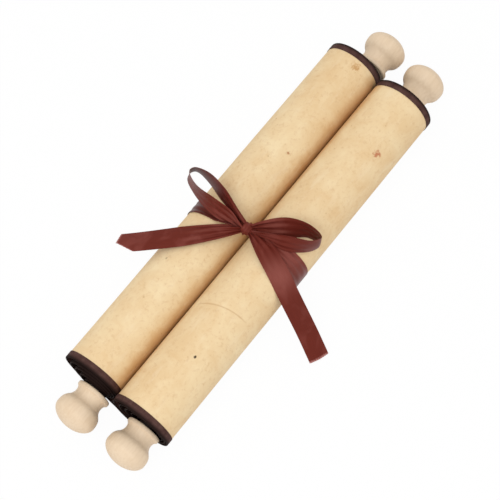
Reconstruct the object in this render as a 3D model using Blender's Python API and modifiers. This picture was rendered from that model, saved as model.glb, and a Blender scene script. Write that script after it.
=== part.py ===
"""Double-roller parchment scroll, tied shut with a satin ribbon.

One long sheet of paper is rolled inwards from both ends onto two wooden rollers, so that
its section is a double spiral with one flat stretch under the pair. A tape is folded over
each long edge of the sheet and follows every turn. Each roller is a dowel with a turned
knob on both ends. One ribbon goes round the pair and is tied on top in a bow.

X runs along the rollers, Y across the pair and Z up. The origin is on the underside of the
ribbon, straight below the knot, in the plane that the scroll lies on.
"""
import math
from collections import namedtuple

import bmesh
import bpy
from mathutils import Vector
from mathutils.geometry import interpolate_bezier

MM = 0.001

# Sheet, with the tape folded over its long edges
SHEET_WIDTH = 300 * MM
PAPER = 0.25 * MM
TAPE = 0.25 * MM
FIT_GAP = 0.125 * MM
BINDING_WIDTH = 5.4 * MM
EDGE_HALF = PAPER / 2 + FIT_GAP + TAPE
SHEET_FLOOR = EDGE_HALF
FACETS_PER_TURN = 20
FIRST_INWARD_ANGLE = 0.75 * math.pi

# Rollers
DOWEL_RADIUS = 6 * MM
DOWEL_SIDES = 16
SEAT_GAP = 0.3 * MM
ROLLER_HEIGHT = 16.5 * MM
INNER_TURN_RADIUS = DOWEL_RADIUS + SEAT_GAP + EDGE_HALF

# Knob, along its own axis from the face that meets the roll
SOCKET_DEPTH = 12 * MM
COLLAR_FACE_RADIUS = 12 * MM
COLLAR_RADIUS = 12.9 * MM
COLLAR_THICKNESS = 2.6 * MM
WAIST_RADIUS = 10.7 * MM
WAIST_HEIGHT = 7.2 * MM
BALL_RADIUS = 15.7 * MM
BALL_HEIGHT = 20.2 * MM
KNOB_LENGTH = 30 * MM
BALL_START_RADIUS = 12.6 * MM
KNOB_SIDES = 18

# Ribbon
RIBBON_WIDTH = 15 * MM
RIBBON = 0.25 * MM
BAND_SKEW = -0.063
KNOT_HEIGHT = 47.3 * MM
KNOT_SIZE = Vector((4.6, 3.8, 3.3)) * MM
GATHERED_WIDTH = 3.6 * MM

# One roll: which side it lies on, the radius of its outer turn, where its middle lies, how
# far the sheet is shifted along it, how far the inner turns slide out, how far its end
# leans, where its roller lies, how far that is turned about Z in radians, its length
# between knobs and its turns of paper
Roll = namedtuple("Roll", "name side radius centre_y shift_x slide_x lean roller_x roller_y "
                          "roller_turn roller_length turns")
LEFT_ROLL = Roll("left", 1, 22.0 * MM, 22.4 * MM, 7.8 * MM, -4.6 * MM, 0.025,
                 8.0 * MM, 14.9 * MM, -0.0045, 310.8 * MM, 5)
RIGHT_ROLL = Roll("right", -1, 24.1 * MM, -22.9 * MM, 3.0 * MM, 2.8 * MM, 0.0,
                  6.4 * MM, -25.6 * MM, 0.0085, 305.6 * MM, 5)

# Ribbon limbs by hand, as (x, y, z, lean, width) in millimetres and degrees. At a lean of
# 0 the ribbon stands on its edge, and at 90 it lies flat.
LEFT_LOOP = [
    (1.6, 1.0, 48.2, 4, 3.2),
    (4.2, 13.2, 51.0, 6, 10.0),
    (8.8, 28.0, 53.2, 5, 15.0),
    (12.0, 42.0, 54.0, -4, 15.0),
    (10.8, 53.6, 53.8, -13, 15.0),
    (4.4, 54.6, 53.6, -5, 15.0),
    (-1.0, 43.6, 53.6, 0, 15.0),
    (-2.9, 28.0, 52.6, 4, 13.0),
    (-2.4, 14.0, 50.2, 2, 8.0),
    (-1.6, 1.6, 48.0, 0, 3.2),
]
RIGHT_LOOP = [
    (1.6, -1.0, 48.6, -30, 3.2),
    (8.0, -11.6, 52.2, -54, 11.0),
    (15.0, -22.8, 54.2, -54, 15.0),
    (20.8, -35.4, 54.6, -30, 15.0),
    (21.4, -46.0, 53.8, -10, 15.0),
    (13.8, -42.2, 53.8, 0, 15.0),
    (5.8, -29.0, 55.0, 16, 14.0),
    (2.6, -15.8, 52.4, 6, 8.5),
    (-1.0, -2.4, 48.6, 0, 3.2),
]
LEFT_TAIL = [
    (-1.0, 0.6, 47.8, 90, 3.2),
    (-12.6, 13.2, 47.8, 90, 10.5),
    (-31.8, 32.4, 46.2, 95, 15.0),
    (-49.4, 52.8, 40.7, 100, 15.0),
    (-56.4, 62.6, 38.0, 104, 12.5),
    (-60.6, 67.0, 36.6, 104, 4.0),
]
RIGHT_TAIL = [
    (-0.2, -0.8, 48.4, 80, 3.2),
    (-4.8, -17.4, 50.6, 80, 13.5),
    (-11.4, -34.2, 47.8, 90, 15.0),
    (-17.3, -49.7, 36.0, 90, 15.0),
    (-24.4, -71.2, 15.0, 88, 15.0),
    (-31.0, -87.4, 2.0, 88, 15.0),
]
RIGHT_TAIL_CUT = -2.5 * MM
LIMB_SECTIONS_PER_SPAN = 2

# Colours as the photograph shows them, in linear values
PARCHMENT = (0.83, 0.63, 0.37, 1)
BROWN_TAPE = (0.075, 0.035, 0.026, 1)
BARE_BEECH = (0.78, 0.61, 0.44, 1)
SATIN = (0.17, 0.025, 0.02, 1)


def clear_scene():
    for thing in list(bpy.data.objects):
        bpy.data.objects.remove(thing, do_unlink=True)


def new_collection(name):
    collection = bpy.data.collections.new(name)
    bpy.context.scene.collection.children.link(collection)
    return collection


def material(name, colour, roughness):
    finish = bpy.data.materials.new(name)
    finish.use_nodes = True
    shader = finish.node_tree.nodes["Principled BSDF"]
    shader.inputs["Base Color"].default_value = colour
    shader.inputs["Roughness"].default_value = roughness
    shader.inputs["Metallic"].default_value = 0.0
    finish.diffuse_color = colour
    return finish


def object_from_bmesh(name, bm, finish, collection):
    """Turn a bmesh into a named object with outward faces and smooth rounds."""
    bmesh.ops.recalc_face_normals(bm, faces=bm.faces)
    mesh = bpy.data.meshes.new(name)
    bm.to_mesh(mesh)
    bm.free()
    mesh.materials.append(finish)
    mesh.shade_smooth()
    mesh.set_sharp_from_angle(angle=math.radians(35))
    thing = bpy.data.objects.new(name, mesh)
    collection.objects.link(thing)
    return thing


def strip(name, sections, finish, collection):
    """A solid whose sections all have the same number of corners, in order round them.

    The first half of the corners goes out along one wall and the second half comes back
    along the other. Both walls are split along the same diagonals, so that a thin strip
    keeps its thickness where it twists.
    """
    bm = bmesh.new()
    rings = [[bm.verts.new(corner) for corner in section] for section in sections]
    corners = len(rings[0])
    for ring, following in zip(rings, rings[1:]):
        for i in range(corners):
            j = (i + 1) % corners
            if i < corners // 2:
                bm.faces.new((ring[i], ring[j], following[j]))
                bm.faces.new((ring[i], following[j], following[i]))
            else:
                bm.faces.new((ring[i], ring[j], following[i]))
                bm.faces.new((ring[j], following[j], following[i]))
    bm.faces.new(rings[0])
    bm.faces.new(reversed(rings[-1]))
    return object_from_bmesh(name, bm, finish, collection)


# The path of the sheet

def roll_path(roll):
    """Points of one roll from its lowest point inwards, as (shift, y, z, turn).

    The shift is along X, and the turn is the point's own turn about Z, which grows to that
    of the roller.
    """
    end_angle = roll.turns * 2 * math.pi
    middle = Vector((roll.centre_y, SHEET_FLOOR + roll.radius))
    roller = Vector((roll.roller_y, ROLLER_HEIGHT))
    points = []
    for i in range(roll.turns * FACETS_PER_TURN + 1):
        angle = i * 2 * math.pi / FACETS_PER_TURN
        inward = max(0.0, (angle - FIRST_INWARD_ANGLE) / (end_angle - FIRST_INWARD_ANGLE))
        radius = roll.radius + (INNER_TURN_RADIUS - roll.radius) * inward
        centre = middle.lerp(roller, inward)
        y = centre.x + roll.side * radius * math.sin(angle)
        z = centre.y - radius * math.cos(angle)
        shift = roll.shift_x + roll.slide_x * inward - roll.lean * (y - roll.centre_y)
        points.append((shift, y, z, roll.roller_turn * inward))
    return points


def sheet_path():
    """The whole sheet, from the left roller out, under the pair and into the right roll."""
    return list(reversed(roll_path(LEFT_ROLL))) + roll_path(RIGHT_ROLL)


def outward_normals(path):
    """Mitred normals in the YZ plane, on the outer side of the sheet."""
    normals = []
    for i in range(len(path)):
        before = path[max(i - 1, 0)]
        here = path[i]
        after = path[min(i + 1, len(path) - 1)]
        legs = []
        for start, end in ((before, here), (here, after)):
            leg = Vector((end[1] - start[1], end[2] - start[2]))
            if leg.length > 0:
                legs.append(leg.normalized())
        along = sum(legs, Vector((0, 0))).normalized()
        normal = Vector((along.y, -along.x))
        straight = Vector((legs[0].y, -legs[0].x))
        normals.append(-normal / normal.dot(straight))
    return normals


def place(point, normal, x, offset):
    """A corner at x along the rollers and at an offset out of the sheet's middle."""
    shift, y, z, turn = point
    return (shift + x, y + normal.x * offset + turn * x, z + normal.y * offset)


def section(point, normal, outline):
    return [place(point, normal, x, offset) for x, offset in outline]


# Pieces

def paper_sheet(finish, collection):
    edge = SHEET_WIDTH / 2 - TAPE - FIT_GAP
    half = PAPER / 2
    outline = [(-edge, half), (edge, half), (edge, -half), (-edge, -half)]
    path = sheet_path()
    sections = [section(p, n, outline) for p, n in zip(path, outward_normals(path))]
    return strip("paper_sheet", sections, finish, collection)


def edge_binding(name, end, finish, collection):
    """The tape folded over one long edge: a U in section. end is -1 or 1 along X."""
    outer_face = EDGE_HALF
    inner_face = PAPER / 2 + FIT_GAP
    fold = SHEET_WIDTH / 2
    hem = fold - BINDING_WIDTH
    well = fold - TAPE
    outline = [(hem, outer_face), (fold, outer_face), (fold, -outer_face), (hem, -outer_face),
               (hem, -inner_face), (well, -inner_face), (well, inner_face), (hem, inner_face)]
    outline = [(end * x, offset) for x, offset in outline]
    path = sheet_path()
    sections = [section(p, n, outline) for p, n in zip(path, outward_normals(path))]
    return strip(name, sections, finish, collection)


def dowel(roll, finish, collection):
    length = roll.roller_length + 2 * (SOCKET_DEPTH - SEAT_GAP)
    bm = bmesh.new()
    bmesh.ops.create_cone(bm, cap_ends=True, segments=DOWEL_SIDES, radius1=DOWEL_RADIUS,
                          radius2=DOWEL_RADIUS, depth=length)
    thing = object_from_bmesh(roll.name + "_roller", bm, finish, collection)
    thing.rotation_euler = (0, math.pi / 2, roll.roller_turn)
    thing.location = (roll.roller_x, roll.roller_y, ROLLER_HEIGHT)
    return thing


def knob_profile():
    """The turned outline from the tip down to the collar and into the socket, (r, z)."""
    front = KNOB_LENGTH - BALL_HEIGHT
    ball = []
    for i in range(6):
        angle = math.radians(90 - 18 * i)
        ball.append((BALL_RADIUS * math.cos(angle), BALL_HEIGHT + front * math.sin(angle)))
    # The back of the ball narrows into the waist, which flares out to the collar
    ball_start = Vector((BALL_START_RADIUS, (BALL_HEIGHT + WAIST_HEIGHT) / 2 - 2 * MM, 0))
    equator = Vector((BALL_RADIUS, BALL_HEIGHT, 0))
    waist = Vector((WAIST_RADIUS, WAIST_HEIGHT, 0))
    rim_top = Vector((COLLAR_RADIUS - 0.4 * MM, COLLAR_THICKNESS + 0.4 * MM, 0))
    down = Vector((0, -1 * MM, 0))
    shoulder = interpolate_bezier(equator, equator + 5 * down,
                                  ball_start + Vector((2.0, 2.0, 0)) * MM, ball_start, 4)
    cove = interpolate_bezier(ball_start, ball_start - Vector((1.2, 1.2, 0)) * MM,
                              waist - 1.2 * down, waist, 3)
    flare = interpolate_bezier(waist, waist + 2.2 * down,
                               rim_top - Vector((1.2, -0.6, 0)) * MM, rim_top, 4)
    back = [(p.x, p.y) for p in shoulder[1:] + cove[1:] + flare[1:]]
    socket_radius = DOWEL_RADIUS + SEAT_GAP
    base = [(COLLAR_RADIUS, COLLAR_THICKNESS / 2), (COLLAR_FACE_RADIUS, 0),
            (socket_radius, 0), (socket_radius, SOCKET_DEPTH), (0, SOCKET_DEPTH)]
    return ball + back + base


def knob(name, roll, end, finish, collection):
    """One turned knob, its own axis along Z. end is -1 or 1 along X."""
    mesh = bpy.data.meshes.new(name)
    outline = knob_profile()
    verts = [(radius, 0, height) for radius, height in outline]
    edges = [(i, i + 1) for i in range(len(verts) - 1)]
    mesh.from_pydata(verts, edges, [])
    mesh.materials.append(finish)
    thing = bpy.data.objects.new(name, mesh)
    collection.objects.link(thing)
    turning = thing.modifiers.new("turning", "SCREW")
    turning.axis = "Z"
    turning.steps = KNOB_SIDES
    turning.render_steps = KNOB_SIDES
    turning.use_merge_vertices = True
    turning.merge_threshold = 0.00001
    turning.use_smooth_shade = True
    thing.rotation_euler = (0, end * math.pi / 2, roll.roller_turn)
    reach = end * roll.roller_length / 2
    thing.location = (roll.roller_x + reach * math.cos(roll.roller_turn),
                      roll.roller_y + reach * math.sin(roll.roller_turn), ROLLER_HEIGHT)
    return thing


# Ribbon

def band(finish, collection):
    """The stretch round both rolls: its two ends narrow into the knot."""
    inner = PAPER / 2 + FIT_GAP
    outer = inner + RIBBON
    half_turn = FACETS_PER_TURN // 2
    path = sheet_path()
    first = LEFT_ROLL.turns * FACETS_PER_TURN - half_turn
    last = first + 2 * half_turn + 1
    normals = outward_normals(path)
    sections = []
    for (shift, y, z, turn), normal in list(zip(path, normals))[first:last + 1]:
        x = BAND_SKEW * y
        edges = ((x - RIBBON_WIDTH / 2, inner), (x + RIBBON_WIDTH / 2, inner),
                 (x + RIBBON_WIDTH / 2, outer), (x - RIBBON_WIDTH / 2, outer))
        sections.append([place((0, y, z, 0), normal, *edge) for edge in edges])
    left_end = gathered_end(LEFT_ROLL, 12 * MM, 9.5 * MM)
    right_end = gathered_end(RIGHT_ROLL, -12 * MM, 9.5 * MM)
    sections = list(reversed(left_end)) + sections + right_end
    return strip("satin_ribbon", sections, finish, collection)


def gathered_end(roll, y, width):
    """Two sections of the band on its way from the top of a roll to the knot."""
    roll_top = SHEET_FLOOR + 2 * roll.radius
    way = abs(y / roll.centre_y)
    stops = ((y, KNOT_HEIGHT + (roll_top - KNOT_HEIGHT) * way + 0.4 * MM, width),
             (roll.side * 0.8 * MM, KNOT_HEIGHT, GATHERED_WIDTH))
    sections = []
    for y, z, width in stops:
        x = BAND_SKEW * y
        sections.append([(x - width / 2, y, z), (x + width / 2, y, z),
                         (x + width / 2, y, z + RIBBON), (x - width / 2, y, z + RIBBON)])
    return sections


def smooth_stations(stations, spans):
    """Stations on one smooth curve through the given ones (Catmull and Rom's rule)."""
    points = [Vector(station) for station in stations]
    points = [2 * points[0] - points[1]] + points + [2 * points[-1] - points[-2]]
    smooth = []
    for a, b, c, d in zip(points, points[1:], points[2:], points[3:]):
        for i in range(spans):
            t = i / spans
            smooth.append(0.5 * (2 * b + (c - a) * t + (2 * a - 5 * b + 4 * c - d) * t ** 2
                                 + (3 * b - a - 3 * c + d) * t ** 3))
    smooth.append(points[-2])
    return smooth


def limb(name, stations, finish, collection, end_cut=0.0):
    """A length of ribbon through its stations, leaned about its own direction."""
    stations = smooth_stations(stations, LIMB_SECTIONS_PER_SPAN)
    centres = [Vector((s[0], s[1], s[2])) * MM for s in stations]
    sections = []
    for i, station in enumerate(stations):
        before = centres[max(i - 1, 0)]
        after = centres[min(i + 1, len(centres) - 1)]
        along = (after - before).normalized()
        up = (Vector((0, 0, 1)) - along * along.z).normalized()
        side = along.cross(up)
        lean = math.radians(station[3])
        across = (up * math.cos(lean) + side * math.sin(lean)) * station[4] * MM / 2
        through = across.cross(along).normalized() * RIBBON / 2
        skew = along * (end_cut / 2 if i == len(stations) - 1 else 0.0)
        centre = centres[i]
        sections.append([centre - across - skew - through, centre + across + skew - through,
                         centre + across + skew + through, centre - across - skew + through])
    return strip(name, sections, finish, collection)


def knot(finish, collection):
    bm = bmesh.new()
    bmesh.ops.create_uvsphere(bm, u_segments=12, v_segments=8, radius=1)
    bmesh.ops.scale(bm, vec=KNOT_SIZE, verts=bm.verts)
    bmesh.ops.translate(bm, vec=(0, 0, KNOT_HEIGHT + 0.4 * MM), verts=bm.verts)
    return object_from_bmesh("knot", bm, finish, collection)


def satin_ribbon(finish, collection, cutters):
    """The whole ribbon as one solid: band, knot, two loops and two tails."""
    ribbon = band(finish, collection)
    limbs = [knot(finish, cutters),
             limb("left_loop", LEFT_LOOP, finish, cutters),
             limb("right_loop", RIGHT_LOOP, finish, cutters),
             limb("left_tail", LEFT_TAIL, finish, cutters),
             limb("right_tail", RIGHT_TAIL, finish, cutters, RIGHT_TAIL_CUT)]
    for piece in limbs:
        piece.hide_render = True
        piece.display_type = "WIRE"
        joining = ribbon.modifiers.new("join_" + piece.name, "BOOLEAN")
        joining.operation = "UNION"
        joining.solver = "MANIFOLD"
        joining.object = piece
    return ribbon


def build_scroll():
    clear_scene()
    scroll = new_collection("paper_scroll")
    cutters = new_collection("cutters")
    parchment = material("parchment paper", PARCHMENT, 0.7)
    tape = material("brown binding tape", BROWN_TAPE, 0.6)
    beech = material("bare beech", BARE_BEECH, 0.55)
    satin = material("red-brown satin", SATIN, 0.35)
    paper_sheet(parchment, scroll)
    edge_binding("edge_binding_near", -1, tape, scroll)
    edge_binding("edge_binding_far", 1, tape, scroll)
    for roll in (LEFT_ROLL, RIGHT_ROLL):
        dowel(roll, beech, scroll)
        knob(roll.name + "_knob_near", roll, -1, beech, scroll)
        knob(roll.name + "_knob_far", roll, 1, beech, scroll)
    satin_ribbon(satin, scroll, cutters)


build_scroll()
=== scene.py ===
"""Looks of a double-roller parchment scroll, tied shut with a satin ribbon.

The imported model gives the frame: X runs along the rollers, Y across the pair and Z up.
Here the sheet, its edge tapes, the rollers, the turned knobs and the ribbon get their fine
surfaces and their finishes, and the stage gets its floor, lamp, sky and camera.
"""
import math
from collections import namedtuple

import bpy
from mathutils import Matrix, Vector


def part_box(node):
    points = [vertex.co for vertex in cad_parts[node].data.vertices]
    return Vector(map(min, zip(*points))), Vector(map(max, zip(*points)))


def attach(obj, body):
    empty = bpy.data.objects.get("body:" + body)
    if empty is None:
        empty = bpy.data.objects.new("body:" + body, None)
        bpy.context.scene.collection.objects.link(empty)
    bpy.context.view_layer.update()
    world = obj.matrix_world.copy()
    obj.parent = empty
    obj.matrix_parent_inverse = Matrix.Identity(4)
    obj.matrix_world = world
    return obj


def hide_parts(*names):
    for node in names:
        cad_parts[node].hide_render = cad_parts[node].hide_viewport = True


bl_info = {
    "name": "Parchment scroll",
    "version": (1, 0, 0),
    "blender": (4, 5, 0),
    "location": "View3D > Sidebar > Scroll",
    "description": "Rolls, binds, mounts and ties a parchment scroll",
    "category": "Add Mesh",
}

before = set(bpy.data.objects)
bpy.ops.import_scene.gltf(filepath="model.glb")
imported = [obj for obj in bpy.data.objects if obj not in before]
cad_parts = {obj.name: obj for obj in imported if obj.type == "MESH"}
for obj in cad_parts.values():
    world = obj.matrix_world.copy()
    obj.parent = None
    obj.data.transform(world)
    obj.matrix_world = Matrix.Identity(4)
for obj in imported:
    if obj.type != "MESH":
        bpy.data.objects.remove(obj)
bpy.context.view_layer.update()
BODY = "root"
MM = 0.001

# The path of the sheet, in millimetres
SHEET_WIDTH = 300.0
BINDING_WIDTH = 5.4
PAPER = 0.25
TAPE = 0.25
FIT_GAP = 0.125
EDGE_HALF = PAPER / 2 + FIT_GAP + TAPE
DOWEL_RADIUS = 6.0
SEAT_GAP = 0.3
ROLLER_HEIGHT = 16.5
INNER_TURN_RADIUS = DOWEL_RADIUS + SEAT_GAP + EDGE_HALF
FIRST_INWARD_ANGLE = 0.75 * math.pi
STEPS_PER_TURN = 64
SHEET_COLUMNS = 30
# The surface swells in and out a little, in long waves along the roll
SWELL = 0.07
SWELL_LENGTH = 17.0
SWELL_TWIST = 2.3
INNER_SWELL_SHARE = 0.4
# From this angle on, a turn is hidden inside the roll
INNER_ANGLE = 1.75 * math.pi
# Painted shade on the paper beside the groove between the rolls: how far up each roll it reaches,
# and how much on the right
GROOVE_REACH_LEFT = 11.5
GROOVE_REACH_RIGHT = 11.0
RIGHT_GROOVE_SHADE = 0.6
FAR_GROOVE_SHADE = 0.6
FAR_GROOVE_SHADE_X = 140.0

# One roll: which side it lies on, the radius of its outer turn, where its middle lies, how
# far the sheet is shifted along it, how far the inner turns slide out, how far its end
# leans, where its roller's middle lies, how far that is turned about Z, and its turns
Roll = namedtuple("Roll", "side radius centre_y shift_x slide_x lean roller_y roller_turn "
                          "turns")
LEFT_ROLL = Roll(1, 22.0, 22.4, 7.8, -4.6, 0.025, 14.9, -0.0045, 5)
RIGHT_ROLL = Roll(-1, 24.1, -22.9, 3.0, 2.8, 0.0, -25.6, 0.0085, 5)
Spot = namedtuple("Spot", "shift y z turn angle")

# Turned knob, along its own axis from the face that meets the roll, in millimetres
SOCKET_DEPTH = 12.0
COLLAR_FACE_RADIUS = 12.0
COLLAR_RADIUS = 12.9
COLLAR_THICKNESS = 2.6
WAIST_RADIUS = 10.7
WAIST_HEIGHT = 7.2
BALL_RADIUS = 15.7
BALL_HEIGHT = 20.2
KNOB_LENGTH = 30.0
BALL_START_RADIUS = 12.6
TIP_STEPS = 20
KNOB_SIDES = 96
DOWEL_SIDES = 64
DOWEL_EDGE = 0.5

# Ribbon, in millimetres
RIBBON = 0.22
RIBBON_WIDTH = 15.0
RIBBON_COLUMNS = 36
LIMB_STEPS_PER_SPAN = 12
# The band lies askew round the rolls, and narrows over their tops towards the knot
BAND_LEFT_X = -4.4
BAND_RIGHT_X = 1.2
BAND_NARROWING = 3.2
BAND_PULL = 0.45
RISE_STEPS = 12
RISE_BOW = 0.9
KNOT_HEIGHT = 47.3
KNOT_LENGTH = 7.6
KNOT_EDGE_RADIUS = 1.1
KNOT_BULGE = 2.5
KNOT_FLATTENING = 1.35
GATHERED_WIDTH = 3.6
# The gathers are this many waves across, a little less high than they would fold freely
FOLDS = 3
FOLD_SHARE = 0.8
FRAY_LENGTH = 2.4

# Ribbon limbs, given as (x, y, z, lean, width) in millimetres and degrees. At a lean of
# 0 the ribbon stands on its edge, and at 90 it lies flat.
LEFT_LOOP = [
    (1.6, 1.0, 48.2, 4, 3.2),
    (4.2, 13.2, 51.0, 12, 10.5),
    (8.4, 27.6, 53.2, 15, 15.0),
    (11.8, 42.0, 54.0, 5, 15.0),
    (10.8, 53.6, 53.8, -12, 15.0),
    (4.4, 54.6, 53.6, -7, 15.0),
    (-1.0, 43.6, 53.6, -8, 15.0),
    (-2.5, 28.0, 52.6, -26, 14.5),
    (-1.8, 14.0, 50.2, -36, 11.0),
    (-1.6, 1.6, 48.0, 0, 3.2),
]
RIGHT_LOOP = [
    (1.6, -1.0, 48.6, -30, 3.2),
    (8.0, -11.6, 52.2, -50, 11.0),
    (15.4, -22.6, 54.6, -46, 14.6),
    (21.6, -35.2, 55.2, -18, 14.6),
    (21.6, -46.0, 53.8, -2, 15.0),
    (13.8, -42.2, 53.8, 10, 15.0),
    (5.8, -29.0, 55.0, 27, 14.0),
    (2.6, -15.8, 52.4, 16, 9.0),
    (-1.0, -2.4, 48.6, 0, 3.2),
]
LEFT_TAIL = [
    (-1.0, 0.6, 47.8, 90, 3.2),
    (-12.6, 13.2, 47.8, 90, 10.5),
    (-31.8, 32.4, 46.2, 95, 15.0),
    (-49.4, 52.8, 40.7, 100, 15.0),
    (-61.0, 67.5, 36.5, 104, 15.0),
]
RIGHT_TAIL = [
    (-0.2, -0.8, 48.4, 80, 3.2),
    (-4.8, -17.4, 50.6, 80, 13.5),
    (-11.4, -34.2, 47.8, 90, 15.0),
    (-17.3, -49.7, 36.0, 90, 15.0),
    (-24.4, -71.2, 15.0, 88, 15.0),
    (-31.4, -88.3, 1.4, 88, 15.0),
]
# How far the cut end stands back at the first edge, the middle and the second edge
LEFT_TAIL_CUT = (13.5, 0.4, 3.4)
RIGHT_TAIL_CUT = (0.4, 0.0, 0.6)
# A painted highlight on the right tail: where its middle lies, and its radius
PAINTED_HIGHLIGHT_CENTRE = (-12.5, -38.0, 44.0)
PAINTED_HIGHLIGHT_RADIUS = 11.0
Limb = namedtuple("Limb", "centre across outward width gather")

# Marks on the paper, in millimetres, each with its colour and strength
Mark = namedtuple("Mark", "name place radius colour strength")
MARKS = (
    Mark("reddish blotch", (100.8, -36.3, 44.8), 3.4, "#B4572C", 0.75),
    Mark("brown stain by the far tape", (147.2, 16.4, 43.9), 4.2, "#B9813C", 0.7),
    Mark("dark fleck", (-93.1, -29.0, 48.0), 1.5, "#3B2A14", 0.95),
    Mark("brown dot", (64.4, 13.1, 42.7), 2.0, "#A8642F", 0.75),
    Mark("small dot", (-49.3, 31.6, 42.7), 1.1, "#7C5B38", 0.7),
)
# A fine crease: an arc on the top of the right roll
CREASE_CENTRE = (-127.2, -40.3)
CREASE_RADIUS = 75.0
CREASE_STRENGTH = 0.4

# Camera and lamp, in metres and degrees, and the sensor and lens in millimetres
AIM = (-0.00316, -0.00506, 0.02143)
DISTANCE = 1.1049
AZIMUTH = -52.03
ELEVATION = 69.445
SENSOR = 36.0
LENS = 114.07
LAMP_PLACE = (-0.55, -0.1, 1.5)
LAMP_SIZE = 1.3
FLOOR_SIZE = 6.0


def linear(hex_colour):
    """An sRGB hex colour as linear RGBA."""
    channels = [int(hex_colour[i:i + 2], 16) / 255 for i in (1, 3, 5)]
    return [c / 12.92 if c <= 0.04045 else ((c + 0.055) / 1.055) ** 2.4 for c in channels] + [1.0]


def set_inputs(tree, node, inputs):
    """Set a node's inputs, each to a value or to a socket that is linked to it."""
    for key, value in inputs.items():
        if isinstance(value, bpy.types.NodeSocket):
            tree.links.new(value, node.inputs[key])
        else:
            node.inputs[key].default_value = value


def add_node(tree, kind, inputs=None, **settings):
    """One shader node of a kind such as TexNoise, with its settings and inputs."""
    node = tree.nodes.new("ShaderNode" + kind)
    for name, value in settings.items():
        setattr(node, name, value)
    set_inputs(tree, node, inputs or {})
    return node


def new_material(name):
    """An empty material with its Principled shader and the place of each point in metres."""
    finish = bpy.data.materials.new(name)
    finish.use_nodes = True
    tree = finish.node_tree
    shader = tree.nodes["Principled BSDF"]
    place = add_node(tree, "TexCoord").outputs["Object"]
    return finish, tree, shader, place


# Settings that a user would change

def length_property(name, description, default):
    return bpy.props.FloatProperty(name=name, description=description, default=default * MM,
                                   subtype="DISTANCE", unit="LENGTH", precision=4)


def colour_property(name, description, default):
    return bpy.props.FloatVectorProperty(name=name, description=description, size=4,
                                         subtype="COLOR", min=0.0, max=1.0,
                                         default=linear(default))


class SheetSettings(bpy.types.PropertyGroup):
    width: length_property("Width", "Width of the sheet between its folded edges", SHEET_WIDTH)
    paper: length_property("Paper", "Thickness of the paper", PAPER)
    light: colour_property("Light", "The pale fields of the parchment", "#EFD7AC")
    dark: colour_property("Dark", "The darker fields of the parchment", "#E3C292")
    # The groove colour is painted shade between the two rolls
    groove: colour_property("Groove", "The browned paper between the two rolls", "#C48A40")


class TapeSettings(bpy.types.PropertyGroup):
    width: length_property("Width", "Width of the tape that shows on each side",
                           BINDING_WIDTH)
    colour: colour_property("Colour", "The woven tape", "#462D29")


class WoodSettings(bpy.types.PropertyGroup):
    light: colour_property("Light", "The pale wood between the grain lines", "#E9D1B3")
    dark: colour_property("Dark", "The grain lines", "#E0C6A6")
    # This colour is painted shade: the dark gap behind the collars, not a stain on the dowels
    stain: colour_property("Shadow", "The stained dowels inside the rolls", "#33211A")


class RibbonSettings(bpy.types.PropertyGroup):
    width: length_property("Width", "Width of the ribbon", RIBBON_WIDTH)
    colour: colour_property("Colour", "The satin in even light", "#6C281E")
    cut: colour_property("Cut", "The loose threads at the cut ends", "#A8706A")


class StageSettings(bpy.types.PropertyGroup):
    floor: colour_property("Floor", "The floor's own colour", "#F4F4F4")
    lamp_power: bpy.props.FloatProperty(name="Lamp", description="Power of the main lamp",
                                        default=10.0, unit="POWER")
    sky: bpy.props.FloatProperty(name="Sky", description="Level of the light from all round",
                                 default=0.75)


# Bending a flat grid into a piece

def deselect_all():
    bpy.ops.object.select_all(action="DESELECT")


def flat_grid(name, columns, rows):
    """A flat unit grid with its UV map, selected and active."""
    deselect_all()
    bpy.ops.mesh.primitive_grid_add(x_subdivisions=columns, y_subdivisions=rows, size=1)
    piece = bpy.context.object
    piece.name = name
    piece.data.name = name
    if len(piece.data.vertices) != (columns + 1) * (rows + 1):
        raise RuntimeError(name + ": the grid has an unexpected number of points")
    return piece


def bend_grid(piece, columns, rows, point):
    """Move each corner of the grid to point(across, along), both from 0 to 1, in mm."""
    for vert in piece.data.vertices:
        across = round((vert.co.x + 0.5) * columns) / columns
        along = round((vert.co.y + 0.5) * rows) / rows
        vert.co = point(across, along) * MM
    piece.data.update()


def store(piece, name, values):
    """Keep one number for each point of a piece, for its material to read."""
    attribute = piece.data.attributes.new(name, "FLOAT", "POINT")
    for point, value in zip(attribute.data, values):
        point.value = value


def apply_modifiers(piece):
    bpy.context.view_layer.objects.active = piece
    for modifier in list(piece.modifiers):
        bpy.ops.object.modifier_apply(modifier=modifier.name)


def thicken(piece, thickness):
    """Give the sheet its thickness, half to each side."""
    wall = piece.modifiers.new("thickness", "SOLIDIFY")
    wall.thickness = thickness
    wall.offset = 0.0
    apply_modifiers(piece)


def face_outwards(piece):
    bpy.context.view_layer.objects.active = piece
    bpy.ops.object.mode_set(mode="EDIT")
    bpy.ops.mesh.select_all(action="SELECT")
    bpy.ops.mesh.normals_make_consistent(inside=False)
    bpy.ops.object.mode_set(mode="OBJECT")


def finish_piece(piece, finish, slot, *nodes, angle=40):
    """Shade a piece, give it its finish, and let it stand for its nodes in the frame."""
    deselect_all()
    piece.select_set(True)
    bpy.context.view_layer.objects.active = piece
    bpy.ops.object.shade_smooth_by_angle(angle=math.radians(angle))
    piece.data.materials.clear()
    piece.data.materials.append(finish)
    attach(piece, BODY)
    if nodes:
        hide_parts(*nodes)


# The path of the sheet

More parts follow.
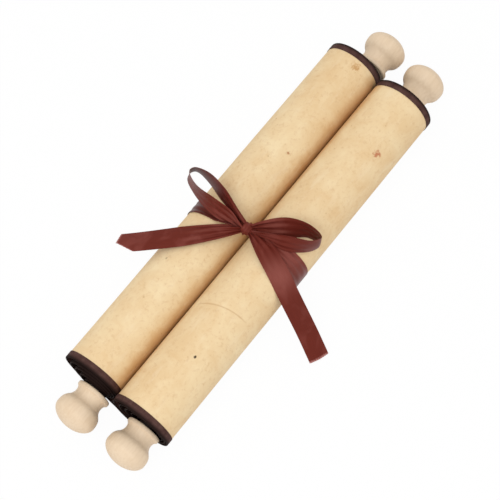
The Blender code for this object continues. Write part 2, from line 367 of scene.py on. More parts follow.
def roll_path(roll):
    """Spots of one roll from its lowest point inwards."""
    end_angle = roll.turns * 2 * math.pi
    middle = Vector((roll.centre_y, EDGE_HALF + roll.radius))
    roller = Vector((roll.roller_y, ROLLER_HEIGHT))
    spots = []
    for i in range(roll.turns * STEPS_PER_TURN + 1):
        angle = i * 2 * math.pi / STEPS_PER_TURN
        inward = max(0.0, (angle - FIRST_INWARD_ANGLE) / (end_angle - FIRST_INWARD_ANGLE))
        radius = roll.radius + (INNER_TURN_RADIUS - roll.radius) * inward
        centre = middle.lerp(roller, inward)
        y = centre.x + roll.side * radius * math.sin(angle)
        z = centre.y - radius * math.cos(angle)
        shift = roll.shift_x + roll.slide_x * inward - roll.lean * (y - roll.centre_y)
        spots.append(Spot(shift, y, z, roll.roller_turn * inward, roll.side * angle))
    return spots


SHEET_PATH = list(reversed(roll_path(LEFT_ROLL))) + roll_path(RIGHT_ROLL)


def outward_normal(i):
    """The direction out of the sheet's outer side at the path's spot i."""
    before = SHEET_PATH[max(i - 1, 0)]
    after = SHEET_PATH[min(i + 1, len(SHEET_PATH) - 1)]
    along = Vector((after.y - before.y, after.z - before.z)).normalized()
    return Vector((-along.y, along.x))


SHEET_NORMALS = [outward_normal(i) for i in range(len(SHEET_PATH))]


def on_sheet(i, x, offset):
    """A point at x along the sheet's width and at an offset out of its middle."""
    spot, normal = SHEET_PATH[i], SHEET_NORMALS[i]
    lift = math.sin(spot.angle / 2) ** 2
    swell = SWELL * lift * math.sin(x / SWELL_LENGTH + SWELL_TWIST * spot.angle)
    out = offset + swell * (1 if abs(spot.angle) < 2 * math.pi else INNER_SWELL_SHARE)
    return Vector((spot.shift + x, spot.y + normal.x * out + spot.turn * x,
                   spot.z + normal.y * out))


def hidden_share(i):
    """From 0 on the outside of the roll to 1 on the turns inside it, at the path's spot i."""
    return min(1.0, max(0.0, abs(SHEET_PATH[i].angle) - INNER_ANGLE))


def painted_groove_shade(x, y, z):
    """How much painted shade the sheet gets: from 1 deep between the two rolls to 0 on their
    tops.

    The right roll gets less of it, and mostly towards its far end.
    """
    if z < ROLLER_HEIGHT:
        return 0.0
    if y > 0:
        return max(0.0, 1 - y / GROOVE_REACH_LEFT)
    far = min(1.0, max(0.0, x / FAR_GROOVE_SHADE_X))
    return (RIGHT_GROOVE_SHADE + FAR_GROOVE_SHADE * far) * max(0.0, 1 + y / GROOVE_REACH_RIGHT)


# Paper sheet

def parchment_material(settings):
    """Parchment-look paper: mottled tan, with painted shade between the rolls, specks and stains.

    A soft, dry surface with a trace of size on it, so its gloss is broad and weak.
    """
    finish, tree, shader, place = new_material("aged parchment paper")
    fields = add_node(tree, "TexNoise",
                      {"Vector": place, "Scale": 1 / 0.055, "Detail": 5.0, "Roughness": 0.6})
    clouds = add_node(tree, "TexNoise",
                      {"Vector": place, "Scale": 1 / 0.014, "Detail": 7.0, "Roughness": 0.65,
                       "Distortion": 0.6})
    both = add_node(tree, "Mix",
                    {"Factor": 0.5, "A": fields.outputs["Fac"], "B": clouds.outputs["Fac"]},
                    data_type="FLOAT")
    tone = add_node(tree, "MapRange",
                    {"Value": both.outputs["Result"], "From Min": 0.36, "From Max": 0.64})
    layers = [(tone.outputs["Result"], list(settings.dark))]
    # Painted shade on the paper in the groove, uneven along it
    groove = add_node(tree, "Attribute", attribute_name="groove")
    uneven = add_node(tree, "Math",
                      {0: clouds.outputs["Fac"], 1: 0.3, 2: groove.outputs["Fac"]},
                      operation="MULTIPLY_ADD")
    shaded = add_node(tree, "MapRange",
                       {"Value": uneven.outputs["Value"], "From Min": 0.45,
                        "From Max": 1.15, "To Max": 0.62}, interpolation_type="SMOOTHSTEP")
    layers.append((shaded.outputs["Result"], list(settings.groove)))
    # Fine specks, about a millimetre across, in loose groups
    specks = add_node(tree, "TexVoronoi", {"Vector": place, "Scale": 1 / 0.0075})
    speck = add_node(tree, "MapRange",
                     {"Value": specks.outputs["Distance"], "From Min": 0.05,
                      "From Max": 0.1, "To Min": 0.45, "To Max": 0.0})
    grouped = add_node(tree, "MapRange",
                       {"Value": clouds.outputs["Fac"], "From Min": 0.5, "From Max": 0.62})
    speck = add_node(tree, "Math",
                     {0: speck.outputs["Result"], 1: grouped.outputs["Result"]},
                     operation="MULTIPLY")
    layers.append((speck.outputs["Value"], linear("#A97B48")))
    # Smudges of about 3 mm
    smudges = add_node(tree, "TexNoise",
                       {"Vector": place, "Scale": 1 / 0.003, "Detail": 5.0,
                        "Roughness": 0.7, "Distortion": 0.4})
    smudge = add_node(tree, "MapRange",
                      {"Value": smudges.outputs["Fac"], "From Min": 0.52,
                       "From Max": 0.72, "To Max": 0.45})
    layers.append((smudge.outputs["Result"], linear("#CFA678")))
    # Pale rubbed streaks along the roll, about 6 mm wide
    stretched = add_node(tree, "Mapping",
                         {"Vector": place, "Scale": (0.25, 1.0, 1.0)})
    streaks = add_node(tree, "TexNoise",
                       {"Vector": stretched.outputs["Vector"], "Scale": 1 / 0.006,
                        "Detail": 6.0, "Roughness": 0.7})
    rubbed = add_node(tree, "MapRange",
                      {"Value": streaks.outputs["Fac"], "From Min": 0.54, "From Max": 0.72,
                       "To Max": 0.3})
    layers.append((rubbed.outputs["Result"], linear("#F4E2C2")))
    # Single marks, each with a ragged edge
    ragged = add_node(tree, "TexNoise",
                      {"Vector": place, "Scale": 1 / 0.0022, "Detail": 4.0})
    edge = add_node(tree, "Math",
                    {0: ragged.outputs["Fac"], 1: 0.5}, operation="SUBTRACT")
    for mark in MARKS:
        away = add_node(tree, "VectorMath",
                        {0: place, 1: Vector(mark.place) * MM}, operation="DISTANCE")
        away = add_node(tree, "Math",
                        {0: edge.outputs["Value"], 1: 2.6 * mark.radius * MM,
                         2: away.outputs["Value"]}, operation="MULTIPLY_ADD")
        spot = add_node(tree, "MapRange",
                        {"Value": away.outputs["Value"], "From Min": 0.25 * mark.radius * MM,
                         "From Max": mark.radius * MM, "To Min": mark.strength,
                         "To Max": 0.0}, interpolation_type="SMOOTHSTEP", label=mark.name)
        layers.append((spot.outputs["Result"], linear(mark.colour)))
    # One fine crease, an arc across the right roll near its near end
    parts = add_node(tree, "SeparateXYZ", {"Vector": place})
    flat = add_node(tree, "CombineXYZ",
                    {"X": parts.outputs["X"], "Y": parts.outputs["Y"]})
    reach = add_node(tree, "VectorMath",
                     {0: flat.outputs["Vector"],
                      1: (CREASE_CENTRE[0] * MM, CREASE_CENTRE[1] * MM, 0)},
                     operation="DISTANCE")
    line = add_node(tree, "Math",
                    {0: reach.outputs["Value"], 1: CREASE_RADIUS * MM},
                    operation="SUBTRACT")
    line = add_node(tree, "Math", {0: line.outputs["Value"]}, operation="ABSOLUTE")
    line = add_node(tree, "MapRange",
                    {"Value": line.outputs["Value"], "From Min": 0.1 * MM,
                     "From Max": 0.8 * MM, "To Min": CREASE_STRENGTH, "To Max": 0.0})
    # It shows only on top of the roll, and ends on each side of it, at places in metres
    across = add_node(tree, "MapRange",
                      {"Value": parts.outputs["Y"], "From Min": -0.041, "From Max": -0.036})
    before = add_node(tree, "MapRange",
                      {"Value": parts.outputs["Y"], "From Min": -0.008, "From Max": -0.004,
                       "To Min": 1.0, "To Max": 0.0})
    above = add_node(tree, "MapRange",
                     {"Value": parts.outputs["Z"], "From Min": 0.034, "From Max": 0.038})
    crease = line.outputs["Result"]
    for mask in (across, before, above):
        crease = add_node(tree, "Math",
                          {0: crease, 1: mask.outputs["Result"]},
                          operation="MULTIPLY").outputs["Value"]
    layers.append((crease, linear("#B98A58")))
    # The inner turns are browner than the outside
    # Painted shade: the inner turns, seen only in the gaps between them, are darkened to dark
    # brown
    inner = add_node(tree, "Attribute", attribute_name="inner")
    layers.append((inner.outputs["Fac"], linear("#4A3320")))
    colour = list(settings.light)
    for factor, tint in layers:
        colour = add_node(tree, "Mix", {"Factor": factor, "A": colour, "B": tint},
                          data_type="RGBA").outputs[2]
    # Fibres of about 0.8 mm under soft dents of about 9 mm
    fibres = add_node(tree, "TexNoise",
                      {"Vector": place, "Scale": 1 / 0.0008, "Detail": 3.0})
    dents = add_node(tree, "TexNoise",
                     {"Vector": place, "Scale": 1 / 0.009, "Detail": 2.0})
    fine = add_node(tree, "Bump",
                    {"Height": fibres.outputs["Fac"], "Strength": 0.25,
                     "Distance": 0.05 * MM})
    relief = add_node(tree, "Bump",
                      {"Height": dents.outputs["Fac"], "Strength": 0.5,
                       "Distance": 0.35 * MM, "Normal": fine.outputs["Normal"]})
    set_inputs(tree, shader, {"Base Color": colour, "Normal": relief.outputs["Normal"],
                              "Roughness": 0.72, "IOR": 1.45})
    return finish


class SCROLL_OT_roll_sheet(bpy.types.Operator):
    """Roll one long sheet of parchment paper inwards from both ends"""
    bl_idname = "scroll.roll_sheet"
    bl_label = "Roll the sheet"

    def execute(self, context):
        settings = context.scene.scroll_sheet
        rows = len(SHEET_PATH) - 1
        half = settings.width / MM / 2 - TAPE - FIT_GAP
        sheet = flat_grid("parchment_sheet", SHEET_COLUMNS, rows)
        bend_grid(sheet, SHEET_COLUMNS, rows,
                  lambda across, along: on_sheet(round(along * rows),
                                                 (across - 0.5) * 2 * half, 0.0))
        # Painted shade beside the groove between the rolls
        store(sheet, "groove", [painted_groove_shade(*(vert.co / MM)) for vert in sheet.data.vertices])
        # Painted shade on the inner turns of the sheet
        store(sheet, "inner", [hidden_share(row) for row in range(rows + 1)
                               for column in range(SHEET_COLUMNS + 1)])
        thicken(sheet, settings.paper)
        face_outwards(sheet)
        finish_piece(sheet, parchment_material(settings), "parchment", "paper_sheet")
        return {"FINISHED"}


# Edge tapes

def tape_material(settings):
    """Woven cotton tape, dyed dark brown: matt, with a fine rib that catches a little light."""
    finish, tree, shader, place = new_material("woven brown binding tape")
    wear = add_node(tree, "TexNoise",
                    {"Vector": place, "Scale": 1 / 0.006, "Detail": 5.0, "Roughness": 0.65})
    tone = add_node(tree, "MapRange",
                    {"Value": wear.outputs["Fac"], "From Min": 0.35, "From Max": 0.7})
    # Painted shade: the inner turns and the rounded folds get a black-brown
    inner = add_node(tree, "Attribute", attribute_name="inner")
    colour = list(settings.colour)
    for factor, tint in ((tone.outputs["Result"], "#5E443E"), (inner.outputs["Fac"], "#21130F")):
        colour = add_node(tree, "Mix",
                          {"Factor": factor, "A": colour, "B": linear(tint)},
                          data_type="RGBA").outputs[2]
    # Ribs along the tape, 1.2 mm apart, drawn coarser than real threads so that they show.
    # A wave texture at scale 1 repeats every 2 pi / 20.
    ribs = add_node(tree, "TexWave",
                    {"Vector": place, "Scale": 2 * math.pi / 20 / 0.0012, "Distortion": 0.4},
                    bands_direction="X")
    threads = add_node(tree, "TexNoise",
                       {"Vector": place, "Scale": 1 / 0.0007, "Detail": 2.0})
    height = add_node(tree, "Math",
                      {0: ribs.outputs["Fac"], 1: threads.outputs["Fac"]}, operation="ADD")
    relief = add_node(tree, "Bump",
                      {"Height": height.outputs["Value"], "Strength": 0.5,
                       "Distance": 0.08 * MM})
    set_inputs(tree, shader, {"Base Color": colour, "Normal": relief.outputs["Normal"],
                              "Roughness": 0.75, "Specular IOR Level": 0.1})
    return finish


def tape_outline(settings):
    """The folded tape's middle line as (x, offset), from one hem round the fold to the other."""
    fold = SHEET_WIDTH / 2
    hem = fold - settings.width / MM
    offset = EDGE_HALF - TAPE / 2
    outline = [(hem, offset), (hem + 0.6, offset), ((hem + fold) / 2, offset)]
    for step in range(7):
        angle = math.radians(90 - 30 * step)
        outline.append((fold - TAPE / 2 - offset + offset * math.cos(angle),
                        offset * math.sin(angle)))
    return outline + [(x, -out) for x, out in reversed(outline[:3])]


class SCROLL_OT_fold_tapes(bpy.types.Operator):
    """Fold a tape over each long edge of the sheet"""
    bl_idname = "scroll.fold_tapes"
    bl_label = "Fold the edge tapes"

    def execute(self, context):
        settings = context.scene.scroll_tape
        finish = tape_material(settings)
        rows = len(SHEET_PATH) - 1
        outline = tape_outline(settings)
        columns = len(outline) - 1
        round_fold = [x > SHEET_WIDTH / 2 - TAPE / 2 - EDGE_HALF for x, offset in outline]
        for name, end in (("near", -1), ("far", 1)):
            tape = flat_grid(name + "_edge_tape", columns, rows)

            def point(across, along):
                x, offset = outline[round(across * columns)]
                return on_sheet(round(along * rows), end * x, offset)

            bend_grid(tape, columns, rows, point)
            # Painted shade on the rounded folds and on the inner turns of the tape
            store(tape, "inner", [1.0 if folded else hidden_share(row)
                                  for row in range(rows + 1) for folded in round_fold])
            thicken(tape, TAPE * MM)
            face_outwards(tape)
            finish_piece(tape, finish, "binding_tape", "edge_binding_" + name)
        return {"FINISHED"}


# Rollers and knobs

def wood_material(name, light, dark):
    """Beech, turned and sanded: matt, with short fine grain along the axis."""
    finish, tree, shader, place = new_material(name)
    along = add_node(tree, "Mapping", {"Vector": place, "Scale": (0.12, 1.0, 1.0)})
    grain = add_node(tree, "TexNoise",
                     {"Vector": along.outputs["Vector"], "Scale": 1 / 0.0016, "Detail": 5.0,
                      "Roughness": 0.6, "Distortion": 0.3})
    figure = add_node(tree, "TexNoise",
                      {"Vector": along.outputs["Vector"], "Scale": 1 / 0.012, "Detail": 3.0})
    both = add_node(tree, "Mix",
                    {"Factor": 0.45, "A": grain.outputs["Fac"], "B": figure.outputs["Fac"]},
                    data_type="FLOAT")
    tone = add_node(tree, "MapRange",
                    {"Value": both.outputs["Result"], "From Min": 0.4, "From Max": 0.62})
    # Pores: short dashes of the grain's colour, about 0.5 mm wide
    dashes = add_node(tree, "Mapping",
                      {"Vector": place, "Scale": (0.3, 1.0, 1.0)})
    pores = add_node(tree, "TexVoronoi",
                     {"Vector": dashes.outputs["Vector"], "Scale": 1 / 0.0022})
    pore = add_node(tree, "MapRange",
                    {"Value": pores.outputs["Distance"], "From Min": 0.06,
                     "From Max": 0.13, "To Min": 0.15, "To Max": 0.0})
    colour = list(light)
    for factor in (tone, pore):
        colour = add_node(tree, "Mix",
                          {"Factor": factor.outputs["Result"], "A": colour, "B": list(dark)},
                          data_type="RGBA").outputs[2]
    relief = add_node(tree, "Bump",
                      {"Height": grain.outputs["Fac"], "Strength": 0.3,
                       "Distance": 0.06 * MM})
    set_inputs(tree, shader, {"Base Color": colour, "Normal": relief.outputs["Normal"],
                              "Roughness": 0.58})
    return finish


def bezier(points, steps):
    """Points on one cubic curve from the first to the last of four."""
    a, b, c, d = (Vector(p) for p in points)
    curve = []
    for i in range(steps + 1):
        t = i / steps
        curve.append(a * (1 - t) ** 3 + 3 * b * t * (1 - t) ** 2 + 3 * c * t ** 2 * (1 - t)
                     + d * t ** 3)
    return curve


def knob_outline():
    """(radius, height) from the tip over the ball, waist and collar into the socket.

    The small numbers place the handles of the curves between the named radii.
    """
    front = KNOB_LENGTH - BALL_HEIGHT
    ball = []
    for step in range(1, TIP_STEPS + 1):
        angle = math.radians(90 - 90 / TIP_STEPS * step)
        ball.append((BALL_RADIUS * math.cos(angle), BALL_HEIGHT + front * math.sin(angle)))
    start = (BALL_START_RADIUS, (BALL_HEIGHT + WAIST_HEIGHT) / 2 - 2.0)
    equator = (BALL_RADIUS, BALL_HEIGHT)
    waist = (WAIST_RADIUS, WAIST_HEIGHT)
    rim = (COLLAR_RADIUS - 0.4, COLLAR_THICKNESS + 0.4)
    shoulder = bezier((equator, (equator[0], equator[1] - 5), (start[0] + 2, start[1] + 2),
                       start), 10)
    cove = bezier((start, (start[0] - 1.2, start[1] - 1.2), (waist[0], waist[1] + 1.2),
                   waist), 6)
    flare = bezier((waist, (waist[0], waist[1] - 2.2), (rim[0] - 1.2, rim[1] + 0.6), rim), 8)
    edge = bezier((rim, (COLLAR_RADIUS, COLLAR_THICKNESS), (COLLAR_RADIUS, 1.2),
                   (COLLAR_RADIUS - 0.1, 0.7)), 5)
    back = [tuple(p) for p in shoulder[1:] + cove[1:] + flare[1:] + edge[1:]]
    socket = DOWEL_RADIUS + SEAT_GAP
    base = [(COLLAR_RADIUS - 0.5, 0.15), (COLLAR_FACE_RADIUS, 0.0), (socket, 0.0),
            (socket, SOCKET_DEPTH)]
    return ball + back + base


def turned_knob(name):
    """A knob about Z: one ring drawn down its outline by extruding and scaling."""
    outline = knob_outline()
    radius, height = outline[0]
    deselect_all()
    bpy.ops.mesh.primitive_circle_add(vertices=KNOB_SIDES, radius=radius * MM,
                                      location=(0, 0, height * MM), fill_type="TRIFAN")
    knob = bpy.context.object
    knob.name = name
    knob.data.name = name
    bpy.ops.object.transform_apply(location=True, rotation=False, scale=False)
    centre = min(knob.data.vertices, key=lambda vert: vert.co.x ** 2 + vert.co.y ** 2)
    centre.co.z = KNOB_LENGTH * MM
    rim = [vert.index for vert in knob.data.vertices if vert.index != centre.index]
    bpy.ops.object.mode_set(mode="EDIT")
    bpy.ops.mesh.select_mode(type="EDGE")
    bpy.ops.mesh.select_all(action="DESELECT")
    bpy.ops.object.mode_set(mode="OBJECT")
    for edge in knob.data.edges:
        edge.select = edge.vertices[0] in rim and edge.vertices[1] in rim
    bpy.ops.object.mode_set(mode="EDIT")
    for (before, top), (after, bottom) in zip(outline, outline[1:]):
        bpy.ops.mesh.extrude_edges_move(
            TRANSFORM_OT_translate={"value": (0, 0, (bottom - top) * MM)})
        bpy.ops.transform.resize(value=(after / before, after / before, 1),
                                 center_override=(0, 0, bottom * MM))
    bpy.ops.mesh.edge_face_add()
    bpy.ops.mesh.select_all(action="SELECT")
    bpy.ops.mesh.normals_make_consistent(inside=False)
    bpy.ops.object.mode_set(mode="OBJECT")
    return knob


def roller_ends(side):
    """The middles of the two collar faces of a roller, from the knobs in the frame."""
    ends = []
    for place in ("near", "far"):
        low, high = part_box(side + "_knob_" + place)
        middle = (low + high) / 2
        face_x = high.x if place == "near" else low.x
        ends.append(Vector((face_x, middle.y, middle.z)))
    return ends


def point_along(piece, axis, place):
    """Turn a piece's own Z to an axis and move it to its place, in its mesh."""
    turn = axis.to_track_quat("Z", "Y").to_matrix().to_4x4()
    turn.translation = place
    piece.data.transform(turn)


class SCROLL_OT_fit_rollers(bpy.types.Operator):
    """Put a dowel into each roll and a turned knob on both of its ends"""
    bl_idname = "scroll.fit_rollers"
    bl_label = "Fit the rollers"

    def execute(self, context):
        settings = context.scene.scroll_wood
        # The knobs are bare; the dowels' dark brown is painted shade for the gap behind the
        # collars
        bare = wood_material("sanded beech", settings.light, settings.dark)
        shadowed = wood_material("brown-stained beech", settings.stain, settings.stain)
        pattern = turned_knob("knob")
        for side in ("left", "right"):
            near, far = roller_ends(side)
            axis = (far - near).normalized()
            for place, face, way in (("near", near, -axis), ("far", far, axis)):
                knob = pattern.copy()
                knob.data = pattern.data.copy()
                knob.name = side + "_" + place + "_knob"
                knob.data.name = knob.name
                context.collection.objects.link(knob)
                point_along(knob, way, face)
                finish_piece(knob, bare, "bare_wood", side + "_knob_" + place, angle=50)
            deselect_all()
            length = (far - near).length + 2 * (SOCKET_DEPTH - SEAT_GAP) * MM
            bpy.ops.mesh.primitive_cylinder_add(vertices=DOWEL_SIDES, radius=DOWEL_RADIUS * MM,
                                                depth=length)
            dowel = bpy.context.object
            dowel.name = side + "_dowel"
            dowel.data.name = dowel.name
            rounding = dowel.modifiers.new("rounding", "BEVEL")
            rounding.width = DOWEL_EDGE * MM
            rounding.segments = 2
            rounding.limit_method = "ANGLE"
            apply_modifiers(dowel)
            point_along(dowel, axis, (near + far) / 2)
            finish_piece(dowel, shadowed, "bare_wood", side + "_roller")
        bpy.data.objects.remove(pattern, do_unlink=True)
        return {"FINISHED"}


# Ribbon

def satin_material(settings):
    """Polyester satin, red-brown: long floats that gather the light into soft streaks."""
    finish, tree, shader, place = new_material("red-brown satin")
    # Streaks about 0.1 mm wide, which run some way along the ribbon
    strand = add_node(tree, "UVMap")
    mapped = add_node(tree, "Mapping",
                      {"Vector": strand.outputs["UV"], "Scale": (60.0, 6.0, 1.0)})
    streaks = add_node(tree, "TexNoise",
                       {"Vector": mapped.outputs["Vector"], "Scale": 2.0, "Detail": 4.0,
                        "Roughness": 0.6})
    tone = add_node(tree, "MapRange",
                    {"Value": streaks.outputs["Fac"], "From Min": 0.35, "From Max": 0.7,
                     "To Max": 0.55})
    layers = [(tone.outputs["Result"], linear("#4B1612"))]
    # Crushed and stretched fields of about 16 mm, where the floats lie at another angle
    crushed = add_node(tree, "TexNoise",
                       {"Vector": place, "Scale": 1 / 0.016, "Detail": 3.0,
                        "Distortion": 0.8})
    bright = add_node(tree, "MapRange",
                      {"Value": crushed.outputs["Fac"], "From Min": 0.48, "From Max": 0.7,
                       "To Max": 0.3})
    layers.append((bright.outputs["Result"], linear("#94524A")))
    # Painted highlight where the lit attribute is set: on the right tail and on the band over the
    # right roll
    lit = add_node(tree, "Attribute", attribute_name="lit")
    lit = add_node(tree, "Math", {0: lit.outputs["Fac"], 1: streaks.outputs["Fac"]},
                   operation="MULTIPLY")
    layers.append((lit.outputs["Value"], linear("#A8655C")))
    # Painted shade where the shade attribute is set: the band under the left loop
    shade = add_node(tree, "Attribute", attribute_name="shade")
    layers.append((shade.outputs["Fac"], linear("#34100D")))
    fray = add_node(tree, "Attribute", attribute_name="fray")
    loose = add_node(tree, "TexNoise",
                     {"Vector": place, "Scale": 1 / 0.0009, "Detail": 3.0})
    ragged = add_node(tree, "Math",
                      {0: fray.outputs["Fac"], 1: loose.outputs["Fac"]}, operation="MULTIPLY")
    threads = add_node(tree, "MapRange",
                       {"Value": ragged.outputs["Value"], "From Min": 0.12, "From Max": 0.4})
    layers.append((threads.outputs["Result"], list(settings.cut)))
    colour = list(settings.colour)
    for factor, tint in layers:
        colour = add_node(tree, "Mix", {"Factor": factor, "A": colour, "B": tint},
                          data_type="RGBA").outputs[2]
    # Floats about 0.4 mm apart, drawn as fine ridges along the ribbon
    floats = add_node(tree, "TexWave",
                      {"Vector": strand.outputs["UV"], "Scale": 12.0, "Distortion": 0.6,
                       "Detail": 2.0}, bands_direction="X")
    relief = add_node(tree, "Bump",
                      {"Height": floats.outputs["Fac"], "Strength": 0.12,
                       "Distance": 0.04 * MM})
    tangent = add_node(tree, "Tangent", direction_type="UV_MAP")
    set_inputs(tree, shader, {"Base Color": colour, "Normal": relief.outputs["Normal"],
                              "Tangent": tangent.outputs["Tangent"], "Roughness": 0.4,
                              "Anisotropic": 0.5, "Specular IOR Level": 0.3,
                              "Specular Tint": linear("#E8B8A8")})
    return finish


def smooth_row(rows, at):
    """A row of numbers at a place from 0 to 1 on a smooth curve through the given rows."""
    points = [Vector(row) for row in rows]
    points = [2 * points[0] - points[1]] + points + [2 * points[-1] - points[-2]]
    spans = len(rows) - 1
    place = min(max(at, 0.0), 1.0) * spans
    span = min(int(place), spans - 1)
    t = place - span
    a, b, c, d = points[span:span + 4]
    return 0.5 * (2 * b + (c - a) * t + (2 * a - 5 * b + 4 * c - d) * t ** 2
                  + (3 * b - a - 3 * c + d) * t ** 3)


def gather_height(flat_width, width):
    """How high the folds stand when the flat width is gathered into a width."""
    return FOLD_SHARE * math.sqrt(max(0.0, flat_width ** 2 - width ** 2)) / (4 * FOLDS)


def limb_at(stations, at, ribbon_width):
    """The middle, the direction across and the outward side of a limb at a place on it."""
    here = smooth_row(stations, at)
    step = 0.004
    before = smooth_row(stations, at - step)
    after = smooth_row(stations, at + step)
    along = Vector((after - before)[:3]).normalized()
    up = (Vector((0, 0, 1)) - along * along.z).normalized()
    side = along.cross(up)
    lean = math.radians(here[3])
    across = up * math.cos(lean) + side * math.sin(lean)
    width = min(here[4], ribbon_width)
    return Limb(Vector(here[:3]), across, across.cross(along).normalized(), width,
                gather_height(ribbon_width, width))


def fold_wave(across, phase):
    """The height of the gathers from -1 to 1 across the ribbon."""
    return math.sin(2 * math.pi * FOLDS * across + phase) * (0.8 + 0.2 * math.sin(9 * across))


def limb_point(limb, across, phase, curl):
    """A point across a limb, with its gathers and a bow of the height curl."""
    bow = curl * (1 - 4 * (across - 0.5) ** 2)
    out = limb.gather * fold_wave(across, phase) + bow
    return limb.centre + limb.across * (across - 0.5) * limb.width + limb.outward * out


def limb_length(stations):
    """The length along the middle of a limb."""
    points = [Vector(smooth_row(stations, i / 100)[:3]) for i in range(101)]
    return sum((b - a).length for a, b in zip(points, points[1:]))


def ribbon_limb(name, stations, width, phase, curl, cut=None):
    """A length of ribbon through its stations. cut is how far its end stands back."""
    spans = len(stations) - 1
    rows = spans * LIMB_STEPS_PER_SPAN
    limb = flat_grid(name, RIBBON_COLUMNS, rows)
    last_span = (Vector(stations[-1][:3]) - Vector(stations[-2][:3])).length
    reach = last_span * spans

    def end_at(across):
        if cut is None:
            return 1.0
        first, middle, second = cut
        edge = first if across < 0.5 else second
        back = middle + (edge - middle) * abs(2 * across - 1)
        # The threads stand out unevenly
        ragged = 0.18 * math.sin(61 * across) + 0.14 * math.sin(143 * across + 1)
        return 1.0 - (back + ragged + 0.3) / reach

    def point(across, along):
        here = limb_at(stations, along * end_at(across), width)
        return limb_point(here, across, phase, curl * here.width / width)

    bend_grid(limb, RIBBON_COLUMNS, rows, point)
    # Threads come loose near a cut end
    row_length = limb_length(stations) / rows
    store(limb, "fray", [max(0.0, 1 - (rows - row) * row_length / FRAY_LENGTH) if cut else 0.0
                         for row in range(rows + 1) for column in range(RIBBON_COLUMNS + 1)])
    # Painted highlight on a field of the right tail
    store(limb, "lit", [0.9 * math.exp(-((vert.co / MM - Vector(PAINTED_HIGHLIGHT_CENTRE)).length
                                         / PAINTED_HIGHLIGHT_RADIUS) ** 2)
                        for vert in limb.data.vertices])
    return limb


def band_stations():
    """The stretch round both rolls, from the knot over the left roll and back to the knot."""
    half_turn = STEPS_PER_TURN // 2
    middle = LEFT_ROLL.turns * STEPS_PER_TURN
    first, last = middle - half_turn, middle + half_turn + 1
    gap = PAPER / 2 + FIT_GAP + RIBBON / 2
    stations = []
    for i in range(first, last + 1):
        spot = SHEET_PATH[i]
        share = (i - first) / (last - first)
        angle = abs(spot.angle)
        narrow = max(0.0, (angle - 0.5 * math.pi) / (0.5 * math.pi))
        width = RIBBON_WIDTH - BAND_NARROWING * narrow ** 1.5
        x = (BAND_LEFT_X + (BAND_RIGHT_X - BAND_LEFT_X) * share) * (1 - BAND_PULL * narrow)
        normal = SHEET_NORMALS[i]
        stations.append((Vector((x, spot.y + normal.x * gap, spot.z + normal.y * gap)),
                         Vector((0, normal.x, normal.y)), width))
    left, right = [], []
    for way, found, end in ((1, left, stations[0]), (-1, right, stations[-1])):
        for step in range(1, RISE_STEPS + 1):
            t = step / RISE_STEPS
            y = end[0].y + (way * 0.8 - end[0].y) * t
            z = end[0].z + (KNOT_HEIGHT - end[0].z) * t + RISE_BOW * math.sin(math.pi * t)
            x = end[0].x * (1 - t)
            width = end[2] + (GATHERED_WIDTH - end[2]) * t
            found.append((Vector((x, y, z)), Vector((0, 0, 1)), width))
    return list(reversed(left)) + stations + right


def ribbon_band(width):
    """The ribbon round both rolls, gathered towards the knot."""
    stations = band_stations()
    rows = len(stations) - 1
    band = flat_grid("band", RIBBON_COLUMNS, rows)

    def point(across, along):
        centre, outward, narrow = stations[round(along * rows)]
        height = gather_height(width, narrow) * (fold_wave(across, 0.6) + 1)
        return centre + Vector(((across - 0.5) * narrow, 0, 0)) + outward * height

    bend_grid(band, RIBBON_COLUMNS, rows, point)
    # Painted highlight on the band over the right roll, and painted shade on it under the left
    # loop
    across_rolls = [vert.co.y / MM for vert in band.data.vertices]
    store(band, "lit", [0.7 * math.exp(-((y + 36) / 9) ** 2) for y in across_rolls])
    # Painted shade on the band under the left loop
    store(band, "shade", [0.5 * min(1.0, max(0.0, y / 8)) for y in across_rolls])
    store(band, "fray", [0.0] * len(across_rolls))
    return band


def ribbon_knot():
    """The wrap round the middle of the bow: a short tube of gathered satin."""
    columns, rows = 20, 48
    knot = flat_grid("knot", columns, rows)

    def point(across, along):
        turn = along * 2 * math.pi
        bulge = math.sin(math.pi * across) ** 0.5
        ridge = 1 + 0.1 * math.sin(5 * math.pi * across + 1.5 * math.sin(turn))
        radius = (KNOT_EDGE_RADIUS + KNOT_BULGE * bulge) * ridge
        return Vector((KNOT_FLATTENING * radius * math.cos(turn), (across - 0.5) * KNOT_LENGTH,
                       KNOT_HEIGHT + 0.6 + radius * math.sin(turn)))

    bend_grid(knot, columns, rows, point)
    bpy.ops.object.mode_set(mode="EDIT")
    bpy.ops.mesh.select_all(action="SELECT")
    bpy.ops.mesh.remove_doubles(threshold=0.02 * MM)
    bpy.ops.object.mode_set(mode="OBJECT")
    return knot


class SCROLL_OT_tie_ribbon(bpy.types.Operator):
    """Take the ribbon once round both rolls and tie it on top in a bow"""
    bl_idname = "scroll.tie_ribbon"
    bl_label = "Tie the ribbon"

    def execute(self, context):
        settings = context.scene.scroll_ribbon
        width = settings.width / MM
        limbs = [ribbon_band(width), ribbon_knot(),
                 ribbon_limb("left_loop", LEFT_LOOP, width, 0.0, 0.4),
                 ribbon_limb("right_loop", RIGHT_LOOP, width, 1.2, 0.6),
                 ribbon_limb("left_tail", LEFT_TAIL, width, 0.4, 0.7, LEFT_TAIL_CUT),
                 ribbon_limb("right_tail", RIGHT_TAIL, width, 2.0, 0.5, RIGHT_TAIL_CUT)]
        for limb in limbs:
            deselect_all()
            limb.select_set(True)
            thicken(limb, RIBBON * MM)
            face_outwards(limb)
        deselect_all()
        for limb in limbs:
            limb.select_set(True)
        bpy.context.view_layer.objects.active = limbs[0]
        bpy.ops.object.join()
        ribbon = bpy.context.object
        ribbon.name = "bow_ribbon"
        ribbon.data.name = ribbon.name
        finish_piece(ribbon, satin_material(settings), "satin_ribbon", "satin_ribbon")
        stations = band_stations()
        return {"FINISHED"}


# Stage

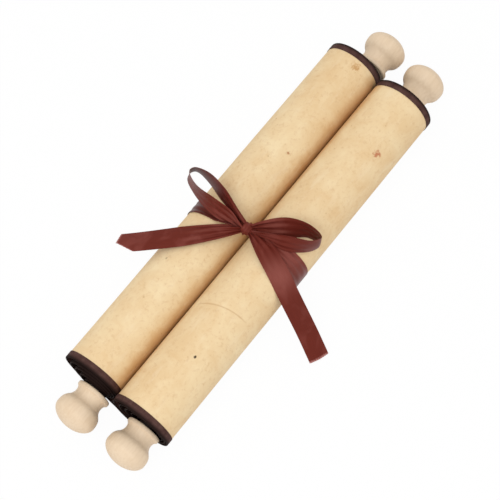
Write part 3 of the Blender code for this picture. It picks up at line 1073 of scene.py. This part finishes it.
class SCROLL_OT_set_stage(bpy.types.Operator):
    """Set the floor, the lamp, the sky and the camera"""
    bl_idname = "scroll.set_stage"
    bl_label = "Set the stage"

    def execute(self, context):
        settings = context.scene.scroll_stage
        deselect_all()
        bpy.ops.mesh.primitive_plane_add(size=FLOOR_SIZE, location=(0, 0, 0))
        floor = bpy.context.object
        floor.name = "floor"
        floor.data.materials.append(floor_material(settings))
        self.add_lamp(settings)
        self.add_world(context, settings)
        self.add_camera(context)
        context.scene.view_settings.view_transform = "Standard"
        return {"FINISHED"}

    def add_lamp(self, settings):
        bpy.ops.object.light_add(type="AREA", location=LAMP_PLACE)
        lamp = bpy.context.object
        lamp.name = "main lamp"
        lamp.data.shape = "DISK"
        lamp.data.size = LAMP_SIZE
        lamp.data.energy = settings.lamp_power
        aim = Vector(AIM) - Vector(LAMP_PLACE)
        lamp.rotation_euler = aim.to_track_quat("-Z", "Y").to_euler()

    def add_world(self, context, settings):
        world = bpy.data.worlds.new("studio")
        world.use_nodes = True
        tree = world.node_tree
        background = tree.nodes["Background"]
        background.inputs["Color"].default_value = (1, 1, 1, 1)
        background.inputs["Strength"].default_value = settings.sky
        context.scene.world = world

    def add_camera(self, context):
        bpy.ops.object.camera_add()
        camera = bpy.context.object
        camera.data.sensor_width = SENSOR
        camera.data.lens = LENS
        camera.rotation_euler = (math.radians(90 - ELEVATION), 0, math.radians(AZIMUTH))
        back = camera.rotation_euler.to_matrix() @ Vector((0, 0, 1))
        camera.location = Vector(AIM) + back * DISTANCE
        context.scene.camera = camera


def floor_material(settings):
    """White paper sweep: it shows as white to the camera, and keeps a light shadow."""
    finish, tree, shader, _ = new_material("white paper sweep")
    set_inputs(tree, shader, {"Base Color": list(settings.floor), "Roughness": 0.9,
                              "Specular IOR Level": 0.0})
    rays = add_node(tree, "LightPath")
    seen = add_node(tree, "Math",
                    {0: rays.outputs["Is Camera Ray"], 1: rays.outputs["Is Glossy Ray"]},
                    operation="MAXIMUM")
    seen = add_node(tree, "Math",
                    {0: seen.outputs["Value"], 1: rays.outputs["Is Transmission Ray"]},
                    operation="MAXIMUM")
    share = add_node(tree, "Math", {0: seen.outputs["Value"], 1: 0.96},
                     operation="MULTIPLY")
    white = add_node(tree, "Emission")
    mixed = add_node(tree, "MixShader",
                     {0: share.outputs["Value"], 1: shader.outputs["BSDF"],
                      2: white.outputs["Emission"]})
    output = next(n for n in tree.nodes if n.type == "OUTPUT_MATERIAL")
    tree.links.new(mixed.outputs["Shader"], output.inputs["Surface"])
    return finish


SETTINGS = (("scroll_sheet", SheetSettings), ("scroll_tape", TapeSettings),
            ("scroll_wood", WoodSettings), ("scroll_ribbon", RibbonSettings),
            ("scroll_stage", StageSettings))
OPERATORS = (SCROLL_OT_set_stage, SCROLL_OT_roll_sheet, SCROLL_OT_fold_tapes,
             SCROLL_OT_fit_rollers, SCROLL_OT_tie_ribbon)


class SCROLL_PT_panel(bpy.types.Panel):
    """The steps that make the scroll, in order, over their sizes and colours"""
    bl_label = "Parchment scroll"
    bl_space_type = "VIEW_3D"
    bl_region_type = "UI"
    bl_category = "Scroll"

    def draw(self, context):
        for operator in OPERATORS:
            self.layout.operator(operator.bl_idname)
        for name, group in SETTINGS:
            box = self.layout.box()
            for field in group.__annotations__:
                box.prop(getattr(context.scene, name), field)


def register():
    for name, group in SETTINGS:
        bpy.utils.register_class(group)
        setattr(bpy.types.Scene, name, bpy.props.PointerProperty(type=group))
    for operator in OPERATORS:
        bpy.utils.register_class(operator)
    bpy.utils.register_class(SCROLL_PT_panel)


def unregister():
    bpy.utils.unregister_class(SCROLL_PT_panel)
    for operator in reversed(OPERATORS):
        bpy.utils.unregister_class(operator)
    for name, group in reversed(SETTINGS):
        delattr(bpy.types.Scene, name)
        bpy.utils.unregister_class(group)


def main():
    register()
    bpy.ops.scroll.set_stage()
    bpy.ops.scroll.roll_sheet()
    bpy.ops.scroll.fold_tapes()
    bpy.ops.scroll.fit_rollers()
    bpy.ops.scroll.tie_ribbon()


if __name__ == "__main__":
    main()
